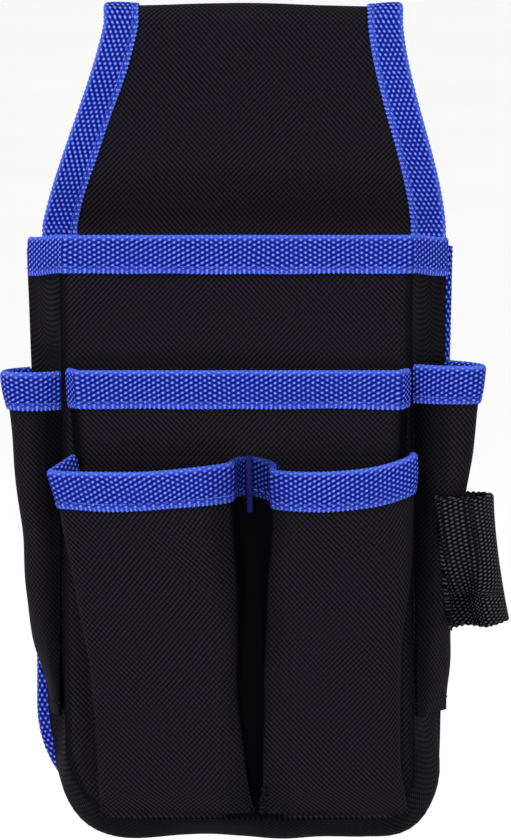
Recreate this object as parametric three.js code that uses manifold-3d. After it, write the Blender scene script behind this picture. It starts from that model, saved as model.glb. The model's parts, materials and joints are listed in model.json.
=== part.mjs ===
// Electrician's tool pouch that hangs on a waist belt, sewn from black coated Oxford cloth and bound
// with blue polypropylene tape. Millimetres, +Z up. The origin is where the belt's top edge bears, at
// the inside top of the belt tunnel. The wearer is at +Y and the pockets face -Y.
//
// The tapered hanger folds over at its top to make the belt tunnel. Below it hangs the pouch: a
// stiffened back, a box pocket with a gusset, a flat pocket over its front, two bellows pockets over
// that, a tubular pocket at each side and a webbing loop for a hammer or a tape measure. Neighbouring
// pieces keep a small sewing gap.
import * as THREE from "three";
import { mergeVertices } from "three/addons/utils/BufferGeometryUtils.js";
import Module from "manifold-3d";

const wasm = await Module();
wasm.setup();

// ---------------------------------------------------------------- sizes

const GAP = 0.3; // between pieces that are sewn together
const CLOTH = 1.2; // coated cloth with its lining
const TAPE = 1.0; // binding tape
const WEBBING = 1.6; // webbing of the tool loop
const CRUMB = 1; // mm3
const BARTACK = { x: 2.5, z: -167.5, length: 19, thick: 0.8, proud: 2.4 }; // proud of the cloth behind it

// Hanger and belt tunnel
const TUNNEL = 10; // clear gap for the belt
const FOLD_LOW_Z = -TUNNEL / 2; // below here the hanger's plies run straight down
const LEAF = 1.6; // the hanger's two plies
const HINGE_Z = -79; // where the hanger's plies bend above the stiffened back
const HINGE_GAP = 1.5; // what the bend needs on each side
const HANGER_TOP_HALF = 53.2;
const HANGER_SLOPE = 0.261; // how much wider each side gets per mm down
const HANGER_LEAN = 5.5; // the hanger's top sits this far off the pouch's middle
const HANGER_FOOT_LEAN = 2.1;
const FLAP_END_Z = -73.5; // lower edge of the ply that is folded down behind
const FLAP_STRAIGHT_Z = -57; // below here the flap slopes in to its seam
const EDGE_TAPE = 11; // binding that shows on a side edge

// Stiffened back, its layers from the pocket side to the wearer's side
const LINING_Y = [-8.6, -7.4];
const BOARD_Y = [-7.1, -5.1];
const OUTER_Y = [-4.8, -3.6];
const BACK_SWELL = 1.8; // the outer cloth is padded proud of its binding
const BOARD_INSET = 3; // the board is this much smaller all round than the cloth over it
const BACK_TOP_Z = HINGE_Z - HINGE_GAP;
const BACK = { halfTop: 76, halfLow: 73.5, bottom: -296, left: 38, right: 27 };

// Box pocket
const MOUTH_TAPE = 13.8; // binding that shows round a pocket's mouth
const MAIN_TOP_Z = -79.5;
const GUSSET_BACK_Y = -10.2;
const GUSSET_FRONT_Y = -31;
const GUSSET_BACK = { halfTop: 75, halfLow: 71, bottom: -297, left: 35, right: 25 };
const GUSSET_FRONT = { halfTop: 62, halfLow: 63.5, bottom: -290, left: 28, right: 20 };
const FRONT_Y = GUSSET_FRONT_Y - GAP; // inner face of the front panel
const MOUTH_END_Y = GUSSET_BACK_Y - 2; // where the tape round the mouth ends at the back
const CORNER = 0.5; // the mouth's tape turns this far outside the front panel's edge

// Flat pocket sewn over the front of the box pocket
const MIDDLE = { top: -127, bottom: -288, half: 61.4, halfLow: 57.5, lean: 3, deepTop: 7.2, deepLow: 2.4 };

// Tubular side pockets
const SIDE = { top: -126, bottom: -251.7, leftDrop: 2.5, rightDrop: 0, bulgeTop: 19.5, bulgeLow: 1.6 };
const SIDE_BULGE_POWER = 0.6; // below 1 the tube is squarer than a sine arch
const SIDE_STEPS = 9;

// Bellows pockets on the front
const BELLOWS = { top: -161, bottom: -287.5 };
const BELLOWS_HEIGHTS = [-190, -225, -260]; // where the walls bend between mouth and foot
const BELLOWS_DEPTH_POWER = 0.8; // below 1 the depth is lost early on the way down

// Tool loop
const LOOP = { top: -173, bottom: -221, x: 79.5, y: -21.5, reachTop: 12, reachLow: 17, depth: 9.5 };
const LOOP_HALF_SWEEP = THREE.MathUtils.degToRad(70);
const LOOP_STEPS = 10;
const LOOP_TABS = { front: [1, 4], rear: [7, 9] }; // the steps of the tube that each end covers
const TUBE_MIDDLE = [68, -21]; // a point inside the right-hand tube

// ---------------------------------------------------------------- colours

const cloth = new THREE.MeshStandardMaterial({ color: 0x18181b, roughness: 0.85, metalness: 0 });
const tape = new THREE.MeshStandardMaterial({ color: 0x2438c8, roughness: 0.6, metalness: 0 });
const webbing = new THREE.MeshStandardMaterial({ color: 0x1e1e20, roughness: 0.6, metalness: 0 });
const board = new THREE.MeshStandardMaterial({ color: 0xd8d8d2, roughness: 0.7, metalness: 0 });
const thread = new THREE.MeshStandardMaterial({ color: 0x20248c, roughness: 0.5, metalness: 0 });

// ---------------------------------------------------------------- shape helpers

const mix = THREE.MathUtils.lerp;
const inPlan = (a, b, at) => [a, b, at]; // sections are plans, stacked up Z
const inFront = (a, b, at) => [a, at, b]; // sections are front views, stacked along Y
const inSide = (a, b, at) => [at, a, b]; // sections are side views, stacked along X

// An open path moved sideways; a positive distance is to the right of its travel, which is outwards here.
function moved(path, distance) {
  return path.map((point, i) => {
    const before = path[Math.max(i - 1, 0)];
    const after = path[Math.min(i + 1, path.length - 1)];
    const into = new THREE.Vector2(point[0] - before[0], point[1] - before[1]).normalize();
    const out = new THREE.Vector2(after[0] - point[0], after[1] - point[1]).normalize();
    const along = into.clone().add(out).normalize();
    const straight = i === 0 ? out : into;
    const stretch = 1 / Math.max(0.5, Math.abs(along.dot(straight)));
    return [point[0] + along.y * distance * stretch, point[1] - along.x * distance * stretch];
  });
}

// The closed outline of a wall that follows a path, between two distances from it.
const band = (path, outer, inner) => [...moved(path, outer), ...moved(path, inner).reverse()];

// A closed solid through outlines of equal length.
function loft(sections, place) {
  const count = sections[0].outline.length;
  const points = sections.flatMap(({ outline, at }) => outline.map(([a, b]) => place(a, b, at)));
  const faces = [];
  for (let s = 0; s + 1 < sections.length; s++) {
    for (let i = 0; i < count; i++) {
      const next = (i + 1) % count;
      const [a, b, c, d] = [i, next, next + count, i + count].map((k) => k + s * count);
      faces.push([a, b, c], [a, c, d]);
    }
  }
  for (const s of [0, sections.length - 1]) {
    const contour = sections[s].outline.map(([a, b]) => new THREE.Vector2(a, b));
    for (const face of THREE.ShapeUtils.triangulateShape(contour, [])) {
      const lifted = face.map((k) => k + s * count);
      const sameTurn = THREE.ShapeUtils.isClockWise(contour) ? s === 0 : s !== 0;
      faces.push(sameTurn ? lifted : lifted.reverse());
    }
  }
  const first = sections[0].outline.map(([a, b]) => new THREE.Vector2(a, b));
  const anticlockwise = !THREE.ShapeUtils.isClockWise(first);
  const [p, q] = [sections[0].at, sections.at(-1).at];
  const mirrored = place === inFront; // a, at, b is a left-handed order
  const turnRound = (anticlockwise === q > p) === mirrored;
  return solid(points.flat(), (turnRound ? faces.map((f) => [...f].reverse()) : faces).flat());
}

// A manifold solid from a list of coordinates and one of corner numbers.
function solid(coordinates, corners) {
  let geometry = new THREE.BufferGeometry();
  geometry.setAttribute("position", new THREE.Float32BufferAttribute(coordinates, 3));
  geometry.setIndex(corners);
  geometry = mergeVertices(geometry, 1e-4);
  const mesh = { numProp: 3, vertProperties: geometry.attributes.position.array };
  return new wasm.Manifold(new wasm.Mesh({ ...mesh, triVerts: new Uint32Array(geometry.index.array) }));
}

// The same outline at two places.
const slab = (outline, from, to, place) => loft([{ outline, at: from }, { outline, at: to }], place);

// A box from its limits on each axis.
function block([x0, x1], [y0, y1], [z0, z1]) {
  return slab([[x0, y0], [x1, y0], [x1, y1], [x0, y1]], z0, z1, inPlan);
}

const group = new THREE.Group();

// Adds a finished solid to the part as a named mesh, without the crumbs that a cut leaves at a thin edge.
function add(name, made, material) {
  const pieces = made.decompose().sort((a, b) => b.volume() - a.volume());
  if (pieces.length > 1 && pieces[1].volume() > CRUMB) throw new Error(`${name} is cut in two`);
  const mesh = pieces[0].getMesh();
  const geometry = new THREE.BufferGeometry();
  geometry.setAttribute("position", new THREE.BufferAttribute(mesh.vertProperties, 3));
  geometry.setIndex(new THREE.BufferAttribute(mesh.triVerts, 1));
  geometry.computeVertexNormals();
  const piece = new THREE.Mesh(geometry, material);
  piece.name = name;
  group.add(piece);
}

// A dense upright bar of zigzag thread, standing on a surface that faces the front.
function bartack(name, at, length) {
  const outline = new THREE.Shape();
  const [half, round] = [length / 2, 1];
  outline.absarc(0, half - round, round, 0, Math.PI);
  outline.absarc(0, round - half, round, Math.PI, 2 * Math.PI);
  const settings = { depth: BARTACK.thick, bevelEnabled: false, curveSegments: 4 };
  const geometry = new THREE.ExtrudeGeometry(outline, settings);
  const piece = new THREE.Mesh(geometry, thread);
  piece.name = name;
  piece.rotation.set(Math.PI / 2, 0, 0);
  piece.position.set(...at);
  group.add(piece);
}

// The U of a bag panel's outline, from its top left corner round the bottom to its top right one.
function bagOutline({ halfTop, halfLow, bottom, left, right }, top, inset = 0, cornerSteps = 6) {
  const [l, r] = [left - inset, right - inset];
  const low = bottom + inset;
  const corner = (x, radius, from) =>
    Array.from({ length: cornerSteps + 1 }, (_, i) => {
      const angle = THREE.MathUtils.degToRad(from + (90 * i) / cornerSteps);
      return [x + radius * Math.cos(angle), low + radius + radius * Math.sin(angle)];
    });
  return [
    [-halfTop + inset, top],
    ...corner(-halfLow + inset + l, l, 180),
    ...corner(halfLow - inset - r, r, 270),
    [halfTop - inset, top],
  ];
}

// ---------------------------------------------------------------- hanger

const hangerHalf = (z) => HANGER_TOP_HALF - HANGER_SLOPE * Math.min(0, z - FOLD_LOW_Z);
const hangerMiddle = (z) => mix(HANGER_LEAN, HANGER_FOOT_LEAN, z / HINGE_Z);

// The hanger's path in side view, along its outer face: up the front ply, over the fold and down the flap.
const FOLD_STEPS = 10;
const leafY = TUNNEL / 2 + LEAF;
const leafTapeY = -TUNNEL / 2 + GAP + TAPE; // inner face of the tape on the front ply
const seamY = leafTapeY + 2 * GAP + TAPE + LEAF; // outer face of the flap where it is sewn down
const foldPath = [
  [-leafY, HINGE_Z + HINGE_GAP],
  ...Array.from({ length: FOLD_STEPS + 1 }, (_, i) => {
    const angle = Math.PI - (Math.PI * i) / FOLD_STEPS;
    return [leafY * Math.cos(angle), leafY * Math.sin(angle) - TUNNEL / 2];
  }),
  [leafY, FLAP_STRAIGHT_Z],
  [seamY, FLAP_END_Z + MOUTH_TAPE - 2],
  [seamY, FLAP_END_Z],
];

// moved() counts the right of the travel as outwards, and this path runs with its outside on the left.
const hangerPlies = (outer, inner, half) =>
  slab(band(foldPath, -outer, inner), HANGER_LEAN - half, HANGER_LEAN + half, inSide);

// In front view the front ply tapers, and the fold and the flap behind it are straight.
function hangerRegion(edge, topEdge) {
  const low = HINGE_Z;
  const split = leafTapeY + GAP / 2;
  const upper = [[HANGER_LEAN + edge(0), topEdge], [HANGER_LEAN - edge(0), topEdge]];
  const straight = (z) => [[HANGER_LEAN - edge(0), z], [HANGER_LEAN + edge(0), z], ...upper];
  const taper = [[hangerMiddle(low) - edge(low), low], [hangerMiddle(low) + edge(low), low]];
  taper.push([HANGER_LEAN + edge(0), FOLD_LOW_Z], [HANGER_LEAN - edge(0), FOLD_LOW_Z]);
  return slab(taper, -20, split, inFront)
    .add(slab(straight(FOLD_LOW_Z), -20, split, inFront))
    .add(slab(straight(low), split, 20, inFront));
}

function makeHanger() {
  const top = 20;
  const wide = HANGER_TOP_HALF * 2;
  const clothEdge = (z) => hangerHalf(z) - TAPE - GAP;
  add("hanger_cloth", hangerPlies(0, LEAF, wide).intersect(hangerRegion(clothEdge, top)), cloth);

  const roomyRegion = hangerRegion((z) => clothEdge(z) + GAP, top);
  const roomForCloth = hangerPlies(GAP, LEAF + GAP, wide).intersect(roomyRegion);
  const inside = hangerRegion((z) => hangerHalf(z) - EDGE_TAPE, top);
  const tapeShell = hangerPlies(GAP + TAPE, LEAF + GAP + TAPE, wide)
    .intersect(hangerRegion(hangerHalf, top))
    .subtract(roomForCloth)
    .subtract(inside)
    .subtract(block([-200, 200], [leafTapeY + GAP / 2, 30], [-90, FLAP_END_Z + MOUTH_TAPE]));
  const leftSide = block([-200, HANGER_LEAN], [-30, 30], [-90, 20]);
  add("hanger_binding_left", tapeShell.intersect(leftSide), tape);
  add("hanger_binding_right", tapeShell.subtract(leftSide), tape);

  // The flap's lower edge has its own run of tape, sewn through to the front ply.
  const flapHalf = HANGER_TOP_HALF;
  const flapTape = block(
    [HANGER_LEAN - flapHalf, HANGER_LEAN + flapHalf],
    [seamY - LEAF - GAP - TAPE, seamY + GAP + TAPE],
    [FLAP_END_Z - GAP - TAPE, FLAP_END_Z + MOUTH_TAPE - GAP - 3],
  ).subtract(hangerPlies(GAP, LEAF + GAP, wide));
  add("belt_flap_binding", flapTape, tape);
}

// ---------------------------------------------------------------- stiffened back

function makeBack() {
  const inset = TAPE + GAP;
  const layer = ([from, to], extra = 0) =>
    slab(bagOutline(BACK, BACK_TOP_Z, inset + extra), from, to, inFront);
  add("back_lining", layer(LINING_Y), cloth);
  add("back_stiffener_board", layer(BOARD_Y, BOARD_INSET), board);
  const insideTape = bagOutline(BACK, BACK_TOP_Z - EDGE_TAPE - 3, EDGE_TAPE + 2);
  const swell = slab(insideTape, OUTER_Y[0] + 0.1, OUTER_Y[1] + BACK_SWELL, inFront);
  add("back_outer_cloth", layer(OUTER_Y).add(swell), cloth);

  const edge = bagOutline(BACK, BACK_TOP_Z);
  const [front, rear] = [LINING_Y[0] - GAP, OUTER_Y[1] + GAP];
  const leaf = band(edge, 0, -EDGE_TAPE);
  const wrap = band(edge, 0, -TAPE);
  const binding = slab(leaf, front - TAPE, front, inFront)
    .add(slab(wrap, front - TAPE, rear + TAPE, inFront))
    .add(slab(leaf, rear, rear + TAPE, inFront));
  add("back_binding", binding, tape);
}

// ---------------------------------------------------------------- box pocket

const mainClothTop = MAIN_TOP_Z - TAPE - GAP;

// The gusset is the tapering bag between the back and the front panel, with a slightly smaller bag
// taken out of it.
function gusset(outer, inner, top, endGap = 0) {
  const bag = (distance, rim) =>
    loft(
      [
        { outline: moved(bagOutline(GUSSET_BACK, rim), distance), at: GUSSET_BACK_Y + endGap },
        { outline: moved(bagOutline(GUSSET_FRONT, rim), distance), at: GUSSET_FRONT_Y - endGap },
      ],
      inFront,
    );
  return bag(outer, top).subtract(bag(inner, top + 5));
}

// Everything inside the box pocket's outer faces, grown all round, and the back's thickness behind it:
// the space that outside pieces keep clear of.
function boxRoom(grow) {
  const ring = (shape, at) => ({ outline: moved(bagOutline(shape, 0), grow), at });
  const rings = [
    ring(GUSSET_BACK, GUSSET_BACK_Y + 20),
    ring(GUSSET_BACK, GUSSET_BACK_Y),
    ring(GUSSET_FRONT, GUSSET_FRONT_Y),
    ring(GUSSET_FRONT, FRONT_Y - CLOTH - grow),
  ];
  return loft(rings, inFront);
}

// What the side pockets and the tool loop keep clear of.
function boxAndBackRoom() {
  const back = block([-100, 100], [GUSSET_BACK_Y + 0.1, 0], [-300, -60]);
  return boxRoom(GAP + 0.05).add(back);
}

function makeBox() {
  add("main_gusset", gusset(0, -CLOTH, mainClothTop), cloth);
  const panel = (grow, top) =>
    slab(moved(bagOutline(GUSSET_FRONT, top), grow), FRONT_Y - CLOTH - grow, FRONT_Y + grow, inFront);
  add("main_front_panel", panel(0, mainClothTop), cloth);

  const outer = FRONT_Y - CLOTH - GAP;
  const backX = GUSSET_BACK.halfTop;
  const cornerX = GUSSET_FRONT.halfTop + CORNER;
  const path = [[-backX, MOUTH_END_Y], [-cornerX, outer], [cornerX, outer], [backX, MOUTH_END_Y]];
  const leaves = band(path, TAPE, -CLOTH - 2 * GAP - TAPE);
  const binding = slab(leaves, MAIN_TOP_Z - MOUTH_TAPE, MAIN_TOP_Z, inPlan)
    .subtract(gusset(GAP, -CLOTH - GAP, mainClothTop + GAP, GAP))
    .subtract(panel(GAP, mainClothTop + GAP));
  add("main_pocket_binding", binding, tape);
}

// ---------------------------------------------------------------- flat pocket

const share = (shape, z) => THREE.MathUtils.clamp((shape.top - z) / (shape.top - shape.bottom), 0, 1);
const middleBack = FRONT_Y - CLOTH - GAP;
const middleFront = (z) => middleBack - mix(MIDDLE.deepTop, MIDDLE.deepLow, share(MIDDLE, z));

function middlePlan(z) {
  const half = mix(MIDDLE.half, MIDDLE.halfLow, share(MIDDLE, z));
  const [left, right] = [MIDDLE.lean * share(MIDDLE, z) - half, MIDDLE.lean * share(MIDDLE, z) + half];
  const y = middleFront(z);
  return [[left, middleBack], [left + 1, y], [right - 1, y], [right, middleBack]];
}

// A pocket's wall that follows its plan, with a floor that joins the plan's ends.
function pocket(plan, heights, floorZ) {
  const wall = heights.map((z) => ({ outline: band(plan(z), 0, -CLOTH), at: z }));
  return loft(wall, inPlan).add(slab(plan(floorZ), floorZ, floorZ - CLOTH, inPlan));
}

// Tape folded over a pocket's mouth: a leaf on each side of the cloth and a cap over its edge.
function mouthTape(plan, top, clothTop, shows = MOUTH_TAPE) {
  const around = (outer, inner, from, to) =>
    loft([from, to].map((z) => ({ outline: band(plan(z), outer, inner), at: z })), inPlan);
  const whole = around(GAP + TAPE, -CLOTH - GAP - TAPE, top, top - shows);
  return whole.subtract(around(GAP, -CLOTH - GAP, clothTop + GAP, top - shows - 5));
}

function makeMiddle() {
  const clothTop = MIDDLE.top - TAPE - GAP;
  const keepOut = block([-100, 100], [middleBack, 0], [-300, 0]);
  const panel = pocket(middlePlan, [clothTop, MIDDLE.bottom - CLOTH], MIDDLE.bottom);
  add("middle_pocket_panel", panel.subtract(keepOut), cloth);
  add("middle_pocket_binding", mouthTape(middlePlan, MIDDLE.top, clothTop).subtract(keepOut), tape);
}

// ---------------------------------------------------------------- side pockets

// The right-hand tube's plan, from the box pocket's front crease round to the edge of the back.
function sidePlan(z) {
  const down = share(SIDE, z);
  const crease = [mix(GUSSET_FRONT.halfTop, GUSSET_FRONT.halfLow, down) + 0.5, GUSSET_FRONT_Y + 1];
  const back = [mix(GUSSET_BACK.halfTop, GUSSET_BACK.halfLow, down) + 1.2, GUSSET_BACK_Y - 1];
  const line = new THREE.Vector2(back[0] - crease[0], back[1] - crease[1]);
  const out = new THREE.Vector2(line.y, -line.x).normalize();
  const bulge = mix(SIDE.bulgeTop, SIDE.bulgeLow, down);
  return Array.from({ length: SIDE_STEPS + 1 }, (_, i) => {
    const t = i / SIDE_STEPS;
    const swell = bulge * Math.sin(Math.PI * t) ** SIDE_BULGE_POWER;
    return [crease[0] + line.x * t + out.x * swell, crease[1] + line.y * t + out.y * swell];
  });
}
const mirrored = (plan) => (z) => plan(z).map(([x, y]) => [-x, y]).reverse();

function makeSides() {
  const keepOut = boxAndBackRoom();
  const sides = [["left", mirrored(sidePlan), SIDE.leftDrop], ["right", sidePlan, SIDE.rightDrop]];
  for (const [name, plan, drop] of sides) {
    const top = SIDE.top - drop;
    const clothTop = top - TAPE - GAP;
    const heights = [clothTop, LOOP.top, LOOP.bottom, SIDE.bottom - CLOTH];
    add(`${name}_side_pocket`, pocket(plan, heights, SIDE.bottom).subtract(keepOut), cloth);
    add(`${name}_side_pocket_binding`, mouthTape(plan, top, clothTop).subtract(keepOut), tape);
  }
}

// ---------------------------------------------------------------- bellows pockets

// Each plan is [x at the top, x at the bottom, depth at the top, depth at the bottom] along the mouth.
const BELLOWS_LEFT = [
  [-60.8, -54.5, 0, 0],
  [-68.6, -55.5, 8.5, 2.2],
  [-58, -50, 12.5, 3.6],
  [-38, -34, 15, 4.6],
  [-18, -14, 13.5, 4.6],
  [-5, -1, 8.5, 3.6],
  [0.8, 1.2, 0, 0],
];
const BELLOWS_RIGHT = [
  [4.2, 4.4, 0, 0],
  [10.4, 6.5, 8.5, 3.2],
  [20, 16, 12.5, 4.4],
  [36, 32, 14, 4.8],
  [50, 46, 10.5, 4.2],
  [59.5, 57, 5, 3],
  [62, 59.4, 0, 0],
];
const bellowsPlan = (table) => (z) => {
  const down = share(BELLOWS, z);
  return table.map(([xTop, xLow, deepTop, deepLow]) => [
    mix(xTop, xLow, down),
    middleFront(z) - GAP - mix(deepTop, deepLow, down ** BELLOWS_DEPTH_POWER),
  ]);
};

function makeBellows() {
  const ends = [MIDDLE.top + 7, MIDDLE.bottom - CLOTH - 1];
  const keepOut = loft(ends.map((z) => ({ outline: moved(middlePlan(z), GAP), at: z })), inPlan);
  for (const [name, table] of [["left", BELLOWS_LEFT], ["right", BELLOWS_RIGHT]]) {
    const plan = bellowsPlan(table);
    const clothTop = BELLOWS.top - TAPE - GAP;
    const heights = [clothTop, ...BELLOWS_HEIGHTS, BELLOWS.bottom - CLOTH];
    add(`front_pocket_${name}`, pocket(plan, heights, BELLOWS.bottom).subtract(keepOut), cloth);
    add(`front_pocket_binding_${name}`, mouthTape(plan, BELLOWS.top, clothTop).subtract(keepOut), tape);
  }
  // One long bar-tack locks the seam between the two pockets; it lies in the valley of their tapes.
  const bartackY = middleFront(-180) - GAP - BARTACK.proud;
  bartack("front_pocket_centre_bartack", [BARTACK.x, bartackY, BARTACK.z], BARTACK.length);
}

// ---------------------------------------------------------------- tool loop

function makeLoop() {
  const heights = [LOOP.top, LOOP.bottom];
  const keepOut = boxAndBackRoom();
  // The webbing's two ends are sewn to the side pocket, one on its front and one at the back.
  const grown = (distance, first, last) => {
    const outline = (z) => [...moved(sidePlan(z), distance).slice(first, last), TUBE_MIDDLE];
    return loft(heights.map((z) => ({ outline: outline(z), at: z })), inPlan);
  };
  const pocketRoom = grown(GAP, 0, SIDE_STEPS + 1);
  for (const [name, [first, last]] of Object.entries(LOOP_TABS)) {
    const tab = grown(GAP + WEBBING, first, last).subtract(pocketRoom).subtract(keepOut);
    add(`tool_loop_${name}_tab`, tab, webbing);
  }
  const arch = (z) => {
    const reach = mix(LOOP.reachTop, LOOP.reachLow, (LOOP.top - z) / (LOOP.top - LOOP.bottom));
    return Array.from({ length: LOOP_STEPS + 1 }, (_, i) => {
      const angle = LOOP_HALF_SWEEP * ((2 * i) / LOOP_STEPS - 1);
      return [LOOP.x + reach * Math.cos(angle), LOOP.y + LOOP.depth * Math.sin(angle)];
    });
  };
  const rings = heights.map((z) => ({ outline: band(arch(z), 0, -WEBBING), at: z }));
  add("tool_loop", loft(rings, inPlan), webbing);
}

makeHanger();
makeBack();
makeBox();
makeMiddle();
makeSides();
makeBellows();
makeLoop();

export default group;
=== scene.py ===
"""The looks of an electrician's belt pouch: black cloth, blue woven binding and a ribbed webbing loop."""
import json
import math

import bpy
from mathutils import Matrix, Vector, noise


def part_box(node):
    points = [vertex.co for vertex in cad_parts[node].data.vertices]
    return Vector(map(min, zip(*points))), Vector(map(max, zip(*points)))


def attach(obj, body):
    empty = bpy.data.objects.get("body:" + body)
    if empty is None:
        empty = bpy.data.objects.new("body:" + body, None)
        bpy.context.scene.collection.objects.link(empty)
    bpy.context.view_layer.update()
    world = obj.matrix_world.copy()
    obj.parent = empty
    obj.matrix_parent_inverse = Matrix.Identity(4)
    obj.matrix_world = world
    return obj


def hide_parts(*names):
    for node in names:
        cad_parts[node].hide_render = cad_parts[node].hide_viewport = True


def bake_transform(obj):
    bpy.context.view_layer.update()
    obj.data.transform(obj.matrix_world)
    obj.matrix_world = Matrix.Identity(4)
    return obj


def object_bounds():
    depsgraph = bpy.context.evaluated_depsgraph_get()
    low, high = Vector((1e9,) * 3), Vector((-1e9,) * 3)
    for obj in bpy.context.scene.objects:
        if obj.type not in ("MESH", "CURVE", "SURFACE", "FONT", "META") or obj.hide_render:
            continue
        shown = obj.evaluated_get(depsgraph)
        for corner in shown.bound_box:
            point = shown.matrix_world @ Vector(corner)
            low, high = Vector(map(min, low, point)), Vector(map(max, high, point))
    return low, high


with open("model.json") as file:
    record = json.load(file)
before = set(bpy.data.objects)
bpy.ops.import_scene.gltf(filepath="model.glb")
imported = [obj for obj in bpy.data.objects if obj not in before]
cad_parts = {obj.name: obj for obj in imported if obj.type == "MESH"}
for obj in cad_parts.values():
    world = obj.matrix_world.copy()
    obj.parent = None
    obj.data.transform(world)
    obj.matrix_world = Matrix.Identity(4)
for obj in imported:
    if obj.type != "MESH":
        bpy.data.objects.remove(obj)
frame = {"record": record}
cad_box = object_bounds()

MM = 0.001
CLOTH = 1.2 * MM  # coated cloth with its lining
HANGER_CLOTH = 1.6 * MM  # the hanger is two plies
TAPE = 1.0 * MM
WEBBING = 1.6 * MM
SIDE_LEAF = 11 * MM  # binding that shows on the hanger's edges
MOUTH_LEAF = 12.3 * MM  # binding that shows round a pocket's mouth
PICK_LONG = 3.5 * MM  # one repeat of the tape's weave along it
PICK_WIDE = 1.82 * MM  # and across it
TAPE_STEP = 0.46 * MM  # spacing of a tape's points, fine enough for its scalloped selvedge
STITCH = 2.3 * MM  # length of one stitch
STITCH_PITCH = 3.0 * MM
THREAD = 0.5 * MM
SEAM_ROW = -3  # the row of a tape that its stitches run along, counted from its outer selvedge
DOWN = Vector((0, 0, -1))

boxes = {part["node"]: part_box(part["node"]) for part in frame["record"]["subparts"]}


def low(node):
    return Vector(boxes[node][0])


def high(node):
    return Vector(boxes[node][1])


def joint_place(name):
    joints = frame["record"]["behaviour"]["joints"]
    return Vector(next(j["pos_m"] for j in joints if j["name"] == name))


# ---------------------------------------------------------------- curves and sheets


def mix(a, b, t):
    return a + (b - a) * t


def ease(t):
    """From 0 to 1 with a level start and end."""
    t = min(max(t, 0), 1)
    return t * t * (3 - 2 * t)


def steps(count):
    return [i / (count - 1) for i in range(count)]


def spaced(points, count):
    """`count` points at even distances along a line of points."""
    lengths = [0]
    for a, b in zip(points, points[1:]):
        lengths.append(lengths[-1] + (b - a).length)
    placed, k = [], 0
    for share in steps(count):
        goal = share * lengths[-1]
        while k < len(points) - 2 and lengths[k + 1] < goal:
            k += 1
        step = lengths[k + 1] - lengths[k]
        placed.append(points[k].lerp(points[k + 1], (goal - lengths[k]) / step if step else 0))
    return placed


def smooth_line(points, count):
    """`count` evenly spaced points on a smooth curve through `points`."""
    points = [Vector(p) for p in points]
    ends = [points[0] * 2 - points[1], *points, points[-1] * 2 - points[-2]]
    fine = []
    for a, b, c, d in zip(ends, ends[1:], ends[2:], ends[3:]):
        for t in steps(13)[:-1]:
            bend = a * 2 - b * 5 + c * 4 - d
            twist = b * 3 - a - c * 3 + d
            fine.append((b * 2 + (c - a) * t + bend * t**2 + twist * t**3) * 0.5)
    return spaced([*fine, points[-1]], count)


def across(rows, r, c):
    row = rows[r]
    return row[min(c + 1, len(row) - 1)] - row[max(c - 1, 0)]


def downwards(rows, r, c):
    return rows[min(r + 1, len(rows) - 1)][c] - rows[max(r - 1, 0)][c]


def face_normals(rows):
    """Outward normals of a sheet whose rows run left to right, from the top down, as seen from outside."""
    return [
        [downwards(rows, r, c).cross(across(rows, r, c)).normalized() for c in range(len(row))]
        for r, row in enumerate(rows)
    ]


def rumpled(rows, amount, size, seed, hold=6):
    """The same sheet with soft creases, which fade over the `hold` rows and columns next to its edges."""
    normals = face_normals(rows)
    made = []
    for r, row in enumerate(rows):
        line = []
        for c, point in enumerate(row):
            inside = min(r, len(rows) - 1 - r, c, len(row) - 1 - c)
            place = point / size + Vector((seed * 7.3, seed * 3.1, seed * 1.7))
            line.append(point + normals[r][c] * amount * ease(inside / hold) * noise.noise(place))
        made.append(line)
    return made


def distances(points):
    run = [0]
    for a, b in zip(points, points[1:]):
        run.append(run[-1] + (b - a).length)
    return run


def cloth_map(rows):
    """Where each point of a sheet lay on the flat cloth, in metres."""
    middle = len(rows[0]) // 2
    fall = distances([row[middle] for row in rows])
    flat = []
    for v, row in zip(fall, rows):
        run = distances(row)
        flat.append([(u - run[middle], -v) for u in run])
    return flat


def tape_map(rows):
    """The place on a tape: along it, and across it from its fold."""
    middle = len(rows) // 2
    run = distances(rows[middle])
    column = distances([row[len(row) // 2] for row in rows])
    return [[(u, v - column[middle]) for u in run] for v in column]


def selvedge_map(rows, crease):
    """How far each point of a tape is from its nearest selvedge, and how much painted shade darkens it in a
    crease.
    """
    column = distances([row[len(row) // 2] for row in rows])
    depths = [crease(c) for c in range(len(rows[0]))]
    return [[(min(v, column[-1] - v), depth) for depth in depths] for v in column]


def crease_shading(rows, crease=lambda r, c: 0):
    """The cloth map, and how much painted shade darkens each point in a crease, from 0 to 1."""
    depths = [[(crease(r, c), 0) for c in range(len(row))] for r, row in enumerate(rows)]
    return {"cloth": cloth_map(rows), "crease": depths}


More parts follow.
